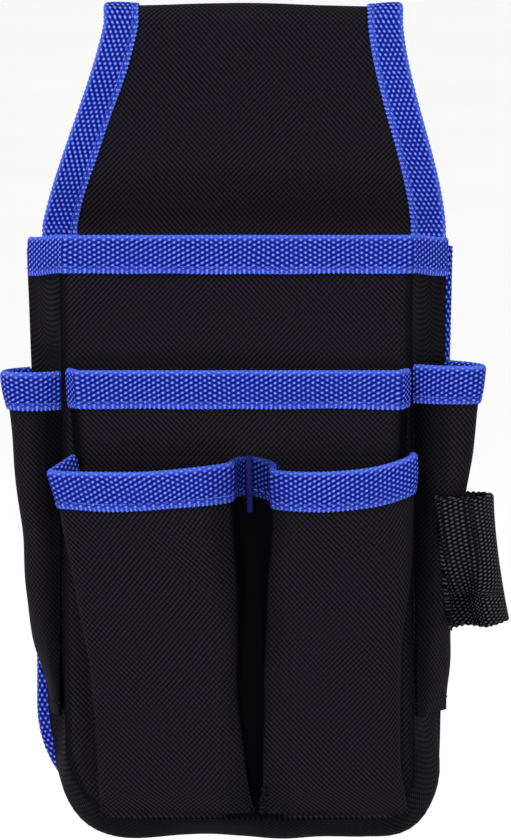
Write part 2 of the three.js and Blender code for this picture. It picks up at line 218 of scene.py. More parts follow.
def sheet(name, rows, thickness, finish, maps=None):
    """A closed cloth piece with `rows` of points as its outer face, and its UV maps by name."""
    maps = maps or crease_shading(rows)
    count, wide = len(rows), len(rows[0])
    normals = face_normals(rows)
    outer = [p for row in rows for p in row]
    inner = [p - n * thickness for row, line in zip(rows, normals) for p, n in zip(row, line)]
    back = len(outer)
    faces = []
    for r in range(count - 1):
        for c in range(wide - 1):
            a, b = r * wide + c, (r + 1) * wide + c
            faces.append((a, b, b + 1, a + 1))
            faces.append((a + back, a + 1 + back, b + 1 + back, b + back))
    rim = list(range(wide))
    rim += [r * wide + wide - 1 for r in range(1, count)]
    rim += [(count - 1) * wide + c for c in range(wide - 2, -1, -1)]
    rim += [r * wide for r in range(count - 2, 0, -1)]
    for a, b in zip(rim, rim[1:] + rim[:1]):
        faces.append((a, b, b + back, a + back))
    mesh = bpy.data.meshes.new(name)
    mesh.from_pydata([*outer, *inner], [], faces)
    for map_name, flat in maps.items():
        places = [uv for line in flat for uv in line]
        layer = mesh.uv_layers.new(name=map_name)
        corners = [places[loop.vertex_index % back] for loop in mesh.loops]
        layer.data.foreach_set("uv", [part for corner in corners for part in corner])
    mesh.shade_smooth()
    mesh.set_sharp_from_angle(angle=math.radians(50))
    mesh.materials.append(finish)
    piece = bpy.data.objects.new(name, mesh)
    bpy.context.collection.objects.link(piece)
    return piece


def area_of(rows):
    total = 0
    for upper, lower in zip(rows, rows[1:]):
        for a, b, c, d in zip(upper, upper[1:], lower[1:], lower):
            total += (c - a).cross(d - b).length / 2
    return total


def declare_sheet(rows):
    """Works out the cloth's longest run each way and its area, but keeps none of them."""
    width = max(distances(row)[-1] for row in rows)
    length = max(distances([row[c] for row in rows])[-1] for c in range(0, len(rows[0]), 4))
    area_of(rows)


def refined(columns, step):
    """The same columns of points and normals, with more of them between, `step` apart."""
    run = distances([points[0] for points, _ in columns])
    count = max(2, round(run[-1] / step))
    made, k = [], 0
    for share in steps(count):
        goal = share * run[-1]
        while k < len(run) - 2 and run[k + 1] < goal:
            k += 1
        part = (goal - run[k]) / max(run[k + 1] - run[k], 1e-9)
        (points, normals), (next_points, next_normals) = columns[k], columns[k + 1]
        between = [a.lerp(b, part) for a, b in zip(points, next_points)]
        made.append((between, [a.lerp(b, part).normalized() for a, b in zip(normals, next_normals)]))
    return made


class Edge:
    """An edge that a tape is folded over. Each column is the cloth's points and normals, from the edge in."""

    def __init__(self, columns, thickness, step=TAPE_STEP):
        self.columns = refined(columns, step)
        self.thickness = thickness
        self.run = distances([points[0] for points, _ in self.columns])

    def under_tape(self, k, into):
        """The cloth's outer face at a distance `into` from the edge, at the edge's place `k`."""
        points, normals = self.columns[k]
        gone = 0
        for a, b, n, m in zip(points, points[1:], normals, normals[1:]):
            step = (b - a).length
            if gone + step >= into:
                share = (into - gone) / step
                return a.lerp(b, share), n.lerp(m, share).normalized()
            gone += step
        return points[-1] + (points[-1] - points[-2]).normalized() * (into - gone), normals[-1]

    def inward(self, k):
        points, _ = self.columns[k]
        return (points[1] - points[0]).normalized()


def top_edge(rows, thickness, deep=0.4):
    """The top edge of a sheet, with the upper share `deep` of its rows as what the tape lies on."""
    normals = face_normals(rows)
    count = max(2, int(len(rows) * deep))
    columns = []
    for c in range(len(rows[0])):
        columns.append(([row[c] for row in rows[:count]], [line[c] for line in normals[:count]]))
    return Edge(columns, thickness)


def side_edge(rows, thickness, right, deep=0.3):
    """The left or right edge of a sheet, ordered so that a tape laid over it faces outwards."""
    normals = face_normals(rows)
    count = int(len(rows[0]) * deep)
    columns = []
    for row, line in zip(rows, normals):
        columns.append((row[::-1][:count], line[::-1][:count]) if right else (row[:count], line[:count]))
    return Edge(columns if right else columns[::-1], thickness)


def level_edge(points, thickness):
    """An edge along a line of points, with the cloth hanging straight down from it."""
    last = len(points) - 1
    columns = []
    for k, point in enumerate(points):
        along = points[min(k + 1, last)] - points[max(k - 1, 0)]
        outward = DOWN.cross(along).normalized()
        start = point + outward * thickness / 2
        columns.append(([start, start + DOWN * 0.05], [outward, outward]))
    return Edge(columns, thickness)


TAPE_WANDER = 0.45 * MM  # how far a folded tape strays across its edge
TAPE_SCALLOP = 0.24 * MM  # depth of the scallops along its selvedge
TAPE_PUFF = 0.35 * MM  # how far it stands off between its fold and its stitches
TAPE_FURROW = 0.3 * MM  # how deep its stitches pull it down


def folded_tape(edge, outer_leaf, inner_leaf, seed=0, crown=None):
    """Rows of a tape folded over an edge, from its inner selvedge over the edge to its outer one."""
    half = edge.thickness / 2 + TAPE
    crown = half * 0.9 if crown is None else crown
    inner = [inner_leaf * (1 - t) for t in steps(9)[:-1]]
    outer = [outer_leaf * t for t in steps(11)[1:]]
    turn = [math.pi * t for t in steps(9)]
    rows = [[] for _ in range(len(inner) + len(turn) + len(outer))]
    for k, s in enumerate(edge.run):
        wander = TAPE_WANDER * noise.noise(Vector((s / 0.022, seed, 0)))
        scallop = TAPE_SCALLOP * math.cos(4 * math.pi * s / PICK_LONG)
        puff = TAPE_PUFF * (0.5 + noise.noise(Vector((s / 0.012, seed + 5, 1))))
        for r, into in enumerate(inner):
            reach = into + (wander + scallop if r == 0 else 0)
            point, normal = edge.under_tape(k, reach)
            rows[r].append(point - normal * (edge.thickness + TAPE))
        start, normal = edge.under_tape(k, 0)
        middle = start - normal * edge.thickness / 2
        for r, angle in enumerate(turn):
            out = edge.inward(k) * (crown + scallop * 0.6) * math.sin(angle)
            rows[len(inner) + r].append(middle - normal * half * math.cos(angle) - out)
        for r, into in enumerate(outer):
            last = into == outer_leaf
            point, normal = edge.under_tape(k, into + wander * into / outer_leaf + (scallop if last else 0))
            furrow = TAPE_FURROW if last or r == len(outer) + SEAM_ROW else 0
            lift = TAPE + puff * math.sin(math.pi * 0.9 * into / outer_leaf) - furrow
            rows[len(inner) + len(turn) + r].append(point + normal * lift)
    return rows


def tape_piece(name, rows, finish, crease=lambda c: 0):
    maps = {"cloth": tape_map(rows), "selvedge": selvedge_map(rows, crease)}
    return sheet(name, rows, TAPE * 0.96, finish, maps)


sewn = {}  # the lines of points that each body's stitches follow, by the body and the thread's colour


def sew(line, normals, body="pouch", thread="blue"):
    """Notes a line of stitches that lies on a surface with these normals."""
    sewn.setdefault((body, thread), []).append([p + n * THREAD * 0.25 for p, n in zip(line, normals)])


def sew_tape(rows, body="pouch"):
    sew(rows[SEAM_ROW], face_normals(rows)[SEAM_ROW], body)


def place(piece, nodes, slot, body="pouch"):
    """Parents a finished piece to its body, or bakes in its transform if it lies across the hanger's fold or
    the loop's seam, and hides the CAD nodes that it stands for. Its slot is not used.
    """
    if body == "across hanger fold":
        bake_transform(piece)
    elif body == "across loop seam":
        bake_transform(piece)
    else:
        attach(piece, body)
    if nodes:
        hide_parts(*nodes)


# ---------------------------------------------------------------- materials


class Signal:
    """A number that varies over a surface. Arithmetic on it adds Math nodes."""

    def __init__(self, finish, socket):
        self.finish = finish
        self.socket = socket

    def joined(self, operation, *values):
        node = self.finish.node("ShaderNodeMath", {"operation": operation}, dict(enumerate(values)))
        return Signal(self.finish, node.outputs[0])

    def __add__(self, other):
        return self.joined("ADD", self, other)

    __radd__ = __add__

    def __sub__(self, other):
        return self.joined("SUBTRACT", self, other)

    def __rsub__(self, other):
        return self.joined("SUBTRACT", other, self)

    def __mul__(self, other):
        return self.joined("MULTIPLY", self, other)

    __rmul__ = __mul__

    def cosine(self):
        return self.joined("COSINE", self)

    def size(self):
        return self.joined("ABSOLUTE", self)

    def between(self, start, end):
        """0 below `start`, 1 above `end` and smooth between them."""
        settings = {"interpolation_type": "SMOOTHSTEP", "clamp": True}
        links = {"Value": self, "From Min": start, "From Max": end}
        return Signal(self.finish, self.finish.node("ShaderNodeMapRange", settings, links).outputs[0])


class Finish:
    """A material in the making."""

    def __init__(self, name):
        self.material = bpy.data.materials.new(name)
        self.material.use_nodes = True
        self.tree = self.material.node_tree
        self.shader = self.tree.nodes["Principled BSDF"]

    def node(self, kind, settings=None, links=None):
        """Adds a node: its settings first, then the value or link of each socket."""
        node = self.tree.nodes.new(kind)
        for key, value in (settings or {}).items():
            setattr(node, key, value)
        self.feed(node, links or {})
        return node

    def feed(self, node, links):
        for key, value in links.items():
            value = value.socket if isinstance(value, Signal) else value
            if isinstance(value, bpy.types.NodeSocket):
                self.tree.links.new(value, node.inputs[key])
            else:
                node.inputs[key].default_value = value

    def cloth_place(self, map_name="cloth"):
        """The two directions on the flat cloth, in metres."""
        place = self.node("ShaderNodeUVMap", {"uv_map": map_name}).outputs["UV"]
        parts = self.node("ShaderNodeSeparateXYZ", links={"Vector": place})
        return Signal(self, parts.outputs["X"]), Signal(self, parts.outputs["Y"])

    def grain(self, size, detail=2.0, roughness=0.5):
        """Noise with features of a given size in metres, fixed to the object."""
        place = self.node("ShaderNodeTexCoord").outputs["Object"]
        links = {"Vector": place, "Scale": 1 / size, "Detail": detail, "Roughness": roughness}
        return Signal(self, self.node("ShaderNodeTexNoise", links=links).outputs["Fac"])

    def blend_colours(self, share, first, second):
        settings = {"data_type": "RGBA"}
        node = self.node("ShaderNodeMix", settings)
        self.feed(node, {0: share, 6: first, 7: second})
        return node.outputs[2]

    def bump(self, height, depth, under=None):
        links = {"Height": height, "Strength": 1.0, "Distance": depth}
        if under:
            links["Normal"] = under
        return self.node("ShaderNodeBump", links=links).outputs["Normal"]

    def done(self, **sockets):
        self.feed(self.shader, {key.replace("_", " "): value for key, value in sockets.items()})
        return self.material


def colour(red, green, blue):
    return (red, green, blue, 1)


WOVEN_SHEEN = 0.03  # Specular IOR Level of dull woven cloth
THREAD_SHEEN = 0.06


def oxford_cloth():
    """Black coated Oxford cloth: a lattice of small woven lozenges whose diagonals show as fine lines."""
    finish = Finish("black_oxford_cloth")
    u, v = finish.cloth_place()
    crease, _ = finish.cloth_place("crease")
    waver = (finish.grain(16 * MM) - 0.5) * 1.5
    warp = u * (2 * math.pi / (1.92 * MM)) + waver
    weft = v * (2 * math.pi / (2.05 * MM)) - waver
    lean = finish.grain(45 * MM, 1).between(0.35, 0.65) * 0.4 + 0.3
    lozenges = (warp + weft).cosine() * lean + (warp - weft).cosine() * (1 - lean)
    fibres = finish.grain(0.4 * MM, 3, 0.7)
    slubs = finish.grain(1.1 * MM, 2, 0.6)
    crown = lozenges.between(-0.7, 1.2)
    # Painted shade: the crease map darkens the cloth in creases, valleys and along seams.
    light = (crown * 0.8 + slubs * 0.2) * (0.1 + fibres * 1.3) * (1 - crease)
    dark = colour(0.0004, 0.0003, 0.0007)
    thread = finish.blend_colours(light, dark, colour(0.0205, 0.0178, 0.0255))
    mottle = finish.grain(26 * MM, 3).between(0.45, 0.8) * 0.25 * (1 - crease)
    worn = finish.blend_colours(mottle, thread, colour(0.0075, 0.0066, 0.0092))
    normal = finish.bump(crown * 0.7 + fibres * 0.3 + slubs * 0.3, 0.12 * MM)
    roughness = 0.75 - crown * 0.14 + fibres * 0.1
    return finish.done(Base_Color=worn, Roughness=roughness, Normal=normal, Specular_IOR_Level=WOVEN_SHEEN)


def binding_tape():
    """Blue tape: columns of slanting picks in brick order over deep gaps, with a tight selvedge."""
    finish = Finish("blue_binding_tape")
    u, v = finish.cloth_place()
    from_selvedge, crease = finish.cloth_place("selvedge")
    waver = (finish.grain(6 * MM) - 0.5) * 1.6
    long = u * (2 * math.pi / PICK_LONG) + waver
    wide = v * (2 * math.pi / PICK_WIDE) - waver
    lean = finish.grain(13 * MM, 1).between(0.3, 0.7) * 0.35 + 0.45
    picks = (long + wide).cosine() * lean + (long - wide).cosine() * (1 - lean)
    columns = (long * 2).cosine()
    fibres = finish.grain(0.4 * MM, 3, 0.75)
    selvedge = 1 - from_selvedge.between(0.6 * MM, 1.4 * MM)
    inside = picks * 0.85 + columns * 0.32
    weave = inside * (1 - selvedge) + (columns * 0.6 + 0.25) * selvedge + (fibres - 0.5) * 1.1
    gap, pick = colour(0.0, 0.0008, 0.075), colour(0.015, 0.033, 0.33)
    ground = finish.blend_colours(weave.between(-0.75, 0.4), gap, pick)
    bright = finish.blend_colours(weave.between(0.2, 1.1), ground, colour(0.17, 0.23, 0.88))
    # Painted highlight: the tape is lightened along the crown of its fold, where light from above falls; it
    # is also lighter along both selvedges.
    crown_highlight = (1 - v.size().between(0.4 * MM, 2.4 * MM)) * 0.5
    worn_edge = (1 - from_selvedge.between(0.5 * MM, 3 * MM)) * 0.22
    crown_highlight_and_selvedge = finish.blend_colours(crown_highlight + worn_edge, bright, colour(0.08, 0.16, 0.78))
    patches = finish.grain(14 * MM, 3).between(0.45, 0.85) * 0.25
    faded = finish.blend_colours(patches, crown_highlight_and_selvedge, colour(0.01, 0.02, 0.26))
    shadowed = finish.blend_colours(crease * 0.75, faded, colour(0.0, 0.0006, 0.03))
    normal = finish.bump(weave.between(-0.8, 0.9), 0.26 * MM)
    look = {"Base_Color": shadowed, "Roughness": 0.62 + fibres * 0.12, "Normal": normal}
    return finish.done(**look, Specular_IOR_Level=WOVEN_SHEEN)


def ribbed_webbing():
    """Black webbing: columns of short ribs in brick order over black gaps."""
    finish = Finish("black_ribbed_webbing")
    u, v = finish.cloth_place()
    crease, _ = finish.cloth_place("crease")
    waver = (finish.grain(9 * MM) - 0.5) * 1.2
    row = v * (2 * math.pi / (1.4 * MM)) + waver
    column = u * (2 * math.pi / (1.95 * MM))
    fibres = finish.grain(0.35 * MM, 3, 0.7)
    ribs = (row - column * 0.7).cosine() * 0.6 + (row + column * 0.3).cosine() * 0.35
    weave = ribs + column.cosine() * 0.3
    crown = weave.between(-0.25, 1.15)
    # Painted shade: the crease map darkens the webbing along its sewn grooves.
    light = crown * (0.15 + fibres * 1.3) * (1 - crease)
    thread = finish.blend_colours(light, colour(0.0006, 0.0005, 0.0008), colour(0.075, 0.072, 0.082))
    normal = finish.bump(crown * 0.9 + fibres * 0.25, 0.3 * MM)
    roughness = 0.6 + fibres * 0.15
    return finish.done(Base_Color=thread, Roughness=roughness, Normal=normal, Specular_IOR_Level=WOVEN_SHEEN)


def sewing_thread(name, dark, light):
    """Twisted sewing thread."""
    finish = Finish(name)
    fibres = finish.grain(0.25 * MM, 2, 0.6)
    tint = finish.blend_colours(fibres, colour(*dark), colour(*light))
    normal = finish.bump(fibres, 0.08 * MM)
    roughness = 0.55 + fibres * 0.2
    return finish.done(Base_Color=tint, Roughness=roughness, Normal=normal, Specular_IOR_Level=THREAD_SHEEN)


def stiffener_board():
    """The plain sheet inside the back."""
    finish = Finish("stiffener_board")
    speckle = finish.grain(1.5 * MM, 3)
    tint = finish.blend_colours(speckle, colour(0.5, 0.5, 0.47), colour(0.66, 0.66, 0.62))
    return finish.done(Base_Color=tint, Roughness=0.6 + speckle * 0.2, Normal=finish.bump(speckle, 0.1 * MM))


black_cloth = oxford_cloth()
blue_tape = binding_tape()
black_webbing = ribbed_webbing()
blue_thread = sewing_thread("blue_thread", (0.012, 0.025, 0.25), (0.07, 0.12, 0.6))
navy_thread = sewing_thread("navy_thread", (0.0, 0.001, 0.02), (0.014, 0.016, 0.16))
black_thread = sewing_thread("black_thread", (0.001, 0.001, 0.001), (0.005, 0.005, 0.006))

hinge = joint_place("pouch_swing")
loop_hinge = joint_place("tool_loop_swing")


# ---------------------------------------------------------------- thread


def thread_tree():
    """Small stitches spaced along lines. `Follow` lays them along a line at 1, and level across it at 0."""
    tree = bpy.data.node_groups.new("stitches_along_lines", "GeometryNodeTree")
    numbers = ("Pitch", "Length", "Thickness", "Follow")
    inputs = {"Lines": "Geometry", **dict.fromkeys(numbers, "Float"), "Thread": "Material"}
    for name, kind in inputs.items():
        tree.interface.new_socket(name, in_out="INPUT", socket_type="NodeSocket" + kind)
    tree.interface.new_socket("Stitches", in_out="OUTPUT", socket_type="NodeSocketGeometry")

    def node(kind, settings=None, links=None):
        made = tree.nodes.new(kind)
        for key, value in (settings or {}).items():
            setattr(made, key, value)
        for key, value in (links or {}).items():
            if isinstance(value, bpy.types.NodeSocket):
                tree.links.new(value, made.inputs[key])
            else:
                made.inputs[key].default_value = value
        return made

    given = node("NodeGroupInput").outputs
    curve = node("GeometryNodeMeshToCurve", links={"Mesh": given["Lines"]}).outputs[0]
    places = {"Curve": curve, "Length": given["Pitch"]}
    points = node("GeometryNodeResampleCurve", {"mode": "LENGTH"}, places).outputs[0]
    bead = node("GeometryNodeMeshUVSphere", links={"Segments": 8, "Rings": 6, "Radius": 0.5}).outputs["Mesh"]
    size = {"X": given["Length"], "Y": given["Thickness"], "Z": given["Thickness"]}
    size = node("ShaderNodeCombineXYZ", links=size).outputs[0]
    stitch = node("GeometryNodeTransform", links={"Geometry": bead, "Scale": size}).outputs[0]
    tangent = node("GeometryNodeInputTangent").outputs[0]
    heading = node("ShaderNodeMix", {"data_type": "VECTOR"})
    tree.links.new(given["Follow"], heading.inputs[0])
    heading.inputs[4].default_value = (1, 0, 0.06)
    tree.links.new(tangent, heading.inputs[5])
    turn = node("FunctionNodeAlignRotationToVector", {"axis": "X"}, {"Vector": heading.outputs[1]})
    worn = node("FunctionNodeRandomValue", {"data_type": "FLOAT"})
    worn.inputs["Seed"].default_value = 4
    worn.inputs[2].default_value = 0.88
    worn.inputs[3].default_value = 1.08
    turned = turn.outputs[0]
    spread = {"Points": points, "Instance": stitch, "Rotation": turned, "Scale": worn.outputs[1]}
    laid = node("GeometryNodeInstanceOnPoints", links=spread).outputs[0]
    real = node("GeometryNodeRealizeInstances", links={"Geometry": laid}).outputs[0]
    coloured = node("GeometryNodeSetMaterial", links={"Geometry": real, "Material": given["Thread"]})
    node("NodeGroupOutput", links={"Stitches": coloured.outputs[0]})
    return tree


stitches_along_lines = thread_tree()


def thread_piece(name, lines, pitch, length, thickness, finish, follow=1):
    """A plain mesh of stitches along lines of points."""
    points = [p for line in lines for p in line]
    edges, start = [], 0
    for line in lines:
        edges += [(start + k, start + k + 1) for k in range(len(line) - 1)]
        start += len(line)
    route = bpy.data.meshes.new(name + "_route")
    route.from_pydata(points, edges, [])
    guide = bpy.data.objects.new(name + "_route", route)
    bpy.context.collection.objects.link(guide)
    nodes = guide.modifiers.new("stitches", "NODES")
    nodes.node_group = stitches_along_lines
    values = {"Pitch": pitch, "Length": length, "Thickness": thickness}
    values.update({"Follow": float(follow), "Thread": finish})
    for socket in stitches_along_lines.interface.items_tree:
        if socket.name in values:
            nodes[socket.identifier] = values[socket.name]
    seen = guide.evaluated_get(bpy.context.evaluated_depsgraph_get())
    mesh = bpy.data.meshes.new_from_object(seen)
    bpy.data.objects.remove(guide)
    mesh.name = name
    mesh.shade_smooth()
    piece = bpy.data.objects.new(name, mesh)
    bpy.context.collection.objects.link(piece)
    return piece


def make_stitches():
    """One piece of stitches for each body and thread."""
    threads = {"blue": (blue_thread, "blue_thread"), "black": (black_thread, "black_webbing")}
    for (body, thread), lines in sewn.items():
        finish, slot = threads[thread]
        name = f"{thread}_stitches_{body.replace(' ', '_')}"
        place(thread_piece(name, lines, STITCH_PITCH, STITCH, THREAD, finish), [], slot, body)


# ---------------------------------------------------------------- outlines


FLARE = 0.6  # below 1, a panel's sides spread soonest just above its corners


class Bag:
    """A panel's outline with two round lower corners. Each pair is its left and its right side."""

    def __init__(self, heights, at_top, at_corner, corners):
        self.bottom, self.top = heights
        self.at_top = at_top
        self.at_corner = at_corner
        self.corners = corners

    def side(self, right, z):
        radius = self.corners[right]
        corner_x = self.at_corner[right]
        out = 1 if right else -1
        corner_z = self.bottom + radius
        if z >= corner_z:
            height = (z - corner_z) / (self.top - corner_z)
            return mix(corner_x, self.at_top[right], height**FLARE)
        return corner_x - out * (radius - math.sqrt(max(radius**2 - (corner_z - z) ** 2, 0)))

    def heights(self, straight, round_steps=14):
        corner_z = self.bottom + max(self.corners)
        line = [mix(self.top, corner_z, t) for t in steps(straight)]
        turn = [math.pi / 2 * t for t in steps(round_steps)[1:]]
        return line + [corner_z - (corner_z - self.bottom) * math.sin(a) for a in turn]

    def rim(self, count):
        """Points from the top left round the bottom to the top right."""
        line = [Vector((self.side(False, z), z)) for z in self.heights(30)]
        line += [Vector((self.side(True, z), z)) for z in reversed(self.heights(30))]
        return spaced(line, count)


# ---------------------------------------------------------------- hanger


HANGER_BENDS = (0.3, 0.6)  # how far the left and the right edge bend from a straight line, 0 to 1
HANGER_TUCK = 2 * MM  # how far its foot draws in behind the box pocket's mouth


def hanger_rows():
    """The hanger's outer face from the flap's end, up the back, over the fold and down the front."""
    lo, hi = low("hanger_cloth"), high("hanger_cloth")
    flap_lo, flap_hi = low("belt_flap_binding"), high("belt_flap_binding")
    seam_y = (flap_lo.y + flap_hi.y + HANGER_CLOTH) / 2
    radius = (hi.y - lo.y) / 2
    fold_z = hi.z - radius
    turn = [math.pi * t for t in steps(9)]
    fold = [Vector((radius * math.cos(angle), fold_z + radius * math.sin(angle))) for angle in turn]
    tuck = low("back_lining").y - HANGER_CLOTH * 0.4
    side_view = [
        Vector((seam_y, flap_lo.z + TAPE)),
        Vector((seam_y, flap_lo.z + 9 * MM)),
        Vector((mix(seam_y, hi.y, 0.45), flap_lo.z + 14 * MM)),
        Vector((hi.y - 0.3 * MM, flap_lo.z + 22 * MM)),
        Vector((hi.y, mix(flap_lo.z, fold_z, 0.7))),
        *fold,
        Vector((lo.y - 0.5 * MM, mix(fold_z, lo.z, 0.3))),
        Vector((lo.y - 0.7 * MM, mix(fold_z, lo.z, 0.65))),
        Vector((lo.y, lo.z + 3 * MM)),
        Vector((mix(lo.y, tuck, 0.7), hinge.z - 3 * MM)),
        Vector((tuck, hinge.z - 9 * MM)),
        Vector((tuck, hinge.z - 19 * MM)),
    ]
    profile = smooth_line(side_view, 130)
    top_step = min(range(len(profile)), key=lambda k: -profile[k].y)
    left_foot = low("hanger_binding_left").x + TAPE
    right_foot = high("hanger_binding_right").x - TAPE
    rows = []
    for k, (y, z) in enumerate(profile):
        widening = min(1, max(0, (fold_z - z) / (fold_z - lo.z))) if k > top_step else 0
        tucked = HANGER_TUCK * ease((hinge.z - 6 * MM - z) / (10 * MM)) if k > top_step else 0
        left_share, right_share = [mix(widening, ease(widening), bend) for bend in HANGER_BENDS]
        left = mix(flap_lo.x + TAPE, left_foot, left_share) + tucked
        right = mix(flap_hi.x - TAPE, right_foot, right_share) - tucked
        rows.append([Vector((mix(left, right, t), y, z)) for t in steps(70)])
    return rows


def make_hanger():
    rows = rumpled(hanger_rows(), 1.3 * MM, 45 * MM, 1)
    cloth = sheet("hanger_fabric", rows, HANGER_CLOTH, black_cloth)
    declare_sheet(rows)
    place(cloth, ["hanger_cloth"], "black_cloth", "across hanger fold")
    for right, side in [(False, "left"), (True, "right")]:
        tape_rows = folded_tape(side_edge(rows, HANGER_CLOTH, right), SIDE_LEAF, SIDE_LEAF, seed=right)
        tape = tape_piece(f"hanger_tape_{side}", tape_rows, blue_tape)
        place(tape, [f"hanger_binding_{side}"], "blue_tape", "across hanger fold")
        sew_tape(tape_rows, "across hanger fold")
    make_flap_tape(rows)


def make_flap_tape(rows):
    """The tape over the flap's lower edge, sewn through to the front ply."""
    tape_rows = folded_tape(top_edge(rows, HANGER_CLOTH, 0.15), 10 * MM, 8 * MM, 9)
    tape = tape_piece("belt_flap_tape", tape_rows, blue_tape)
    place(tape, ["belt_flap_binding"], "blue_tape", "hanger")
    sew_tape(tape_rows, "hanger")


# ---------------------------------------------------------------- box pocket

CREASE = 5 * MM  # how far in from its edges the front panel turns back
LEAN = 2.9 * MM  # the pouch's foot hangs this far towards +X of its mouth
MOUTH_DROOP = 5 * MM  # the mouth's corners hang this far below its front at the back
BELLY = 6.1 * MM  # the strip between front and back hangs this far below the line between its two seams
FRONT_CORNERS = (28 * MM, 19 * MM)  # radii of the left and the right lower corner
GUSSET_CORNERS = (30 * MM, 24 * MM)
BACK_CORNERS = (44 * MM, 30 * MM)


def front_bag():
    lo, hi = low("main_front_panel"), high("main_front_panel")
    return Bag((lo.z, hi.z), (lo.x, hi.x - 1.5 * MM), (lo.x + 1.5 * MM, hi.x), FRONT_CORNERS)


def gusset_bag():
    """The gusset's back edge."""
    lo, hi = low("main_gusset"), high("main_gusset")
    left_low, right_low = lo.x + 11.1 * MM - LEAN, hi.x - 5 * MM + LEAN
    return Bag((lo.z + 1 * MM, hi.z), (lo.x - 1.1 * MM, hi.x), (left_low, right_low), GUSSET_CORNERS)


def back_bag():
    lo, hi = low("back_binding"), high("back_binding")
    left_low, right_low = lo.x + 5.9 * MM - LEAN, hi.x - 7.4 * MM + LEAN
    top = (lo.x + 3.2 * MM, hi.x + 1.4 * MM)
    return Bag((lo.z, hi.z - MOUTH_DROOP), top, (left_low, right_low), BACK_CORNERS)


def main_front_rows():
    """The front panel, turned back a little along its sides where the gusset starts."""
    bag = front_bag()
    face = low("main_front_panel").y
    rows = []
    for z in bag.heights(50):
        left, right = bag.side(False, z), bag.side(True, z)
        line = []
        for t in steps(90):
            x = mix(left, right, t)
            turned = max(0, 1 - min(x - left, right - x) / CREASE)
            line.append(Vector((x, face + CREASE * 0.55 * (1 - math.sqrt(max(1 - turned**2, 0))), z)))
        rows.append(line)
    return rows


def gusset_rows():
    """The strip from the front panel round to the back, as rows from its front edge to its back one."""
    lo, hi = low("main_gusset"), high("main_gusset")
    front = front_bag().rim(150)
    back = gusset_bag().rim(150)
    front_y = low("main_front_panel").y + CREASE * 0.5
    rows = []
    for t in steps(22):
        line = []
        for k, (a, b) in enumerate(zip(front, back)):
            x, z = a.lerp(b, t)
            middle = Vector((-x, 0, mix(lo.z, hi.z, 0.5) - z)).normalized()
            from_mouth = min(k, len(front) - 1 - k)
            underneath = ease((lo.z + 46 * MM - z) / (34 * MM))
            sag = mix(1.6 * MM, -BELLY, underneath) * math.sin(math.pi * t) * ease(from_mouth / 12)
            droop = MOUTH_DROOP * t * ease(1 - from_mouth / 8)
            line.append(Vector((x, mix(front_y, hi.y, t), z - droop)) + middle * sag)
        rows.append(line)
    return rows


def strip_shadow(rows):
    """Painted shade: the strip is darkened all over, most along its front seam and on its underside."""
    foot = min(p.z for p in rows[0])

    def crease(r, c):
        at_seam = 0.9 * ease(1.2 - r / 2)
        beneath = ease(1 - (rows[0][c].z - foot) / (8 * MM))
        return max(at_seam, mix(0.3, 0.75, beneath))

    return crease_shading(rows, crease)


def make_box_pocket():
    front = rumpled(main_front_rows(), 1.6 * MM, 40 * MM, 2)
    last_row, last_column = len(front) - 1, len(front[0]) - 1
    # Painted shade: the panel is darkened along its sides and foot, where it turns into the gusset.
    seam = crease_shading(front, lambda r, c: 0.8 * ease(1.2 - min(c, last_column - c, last_row - r) / 2))
    panel = sheet("box_front_fabric", front, CLOTH, black_cloth, seam)
    declare_sheet(front)
    place(panel, ["main_front_panel"], "black_cloth")
    strip = rumpled(gusset_rows(), 2.2 * MM, 22 * MM, 3, hold=5)
    side = sheet("box_gusset_fabric", strip, CLOTH, black_cloth, strip_shadow(strip))
    declare_sheet(strip)
    place(side, ["main_gusset"], "black_cloth")
    make_box_tape()


def make_box_tape():
    """Tape round the box pocket's mouth, from the back's edge over both creases to its other edge."""
    lo, hi = low("main_pocket_binding"), high("main_pocket_binding")
    panel = low("main_front_panel")
    front = panel.y + CLOTH / 2
    reach = high("main_front_panel").x - 1.8 * MM
    back_y = hi.y - 2 * MM
    plan = [(lo.x + 1.5 * MM, back_y), (mix(lo.x, -reach, 0.5), mix(back_y, front, 0.45))]
    plan += [(-reach - 1.2 * MM, front + 3.2 * MM), (-reach + 2.6 * MM, front + 0.2 * MM)]
    plan += [(-reach * 0.6, front - 0.4 * MM)]
    plan += [(0, front - 0.2 * MM)] + [(-x, y) for x, y in reversed(plan)]
    points = []
    for x, y in smooth_line(plan, 260):
        behind = ease((y - front) / (back_y - front))
        points.append(Vector((x, y, hi.z - TAPE - MOUTH_DROOP * 0.45 * behind)))
    rows = folded_tape(level_edge(points, CLOTH), MOUTH_LEAF, MOUTH_LEAF, seed=3)
    tape = tape_piece("box_pocket_tape", rows, blue_tape)
    place(tape, ["main_pocket_binding"], "blue_tape")
    sew_tape(rows)


# ---------------------------------------------------------------- flat pocket


def middle_depth(z):
    """How far the flat pocket stands off the box pocket's front."""
    lo, hi = low("middle_pocket_panel"), high("middle_pocket_panel")
    return mix(hi.y - lo.y, 2.4 * MM, (hi.z - z) / (hi.z - lo.z))


def middle_rows():
    lo, hi = low("middle_pocket_panel"), high("middle_pocket_panel")
    foot = low("front_pocket_left").x + 19 * MM
    flare = 3.2 * MM
    rows = []
    for t in steps(60):
        z = mix(hi.z, lo.z, t)
        left, right = mix(lo.x + 0.6 * MM, foot, t), mix(hi.x - 0.4 * MM, hi.x - 5 * MM, t)
        depth = middle_depth(z) * (1 - 0.85 * ease((t - 0.86) / 0.1))
        line = []
        for share in steps(90):
            x = mix(left, right, share)
            stand = ease(min(x - left, right - x) / flare)
            line.append(Vector((x, hi.y - depth * stand - 0.3 * MM, z)))
        rows.append(line)
    return rows


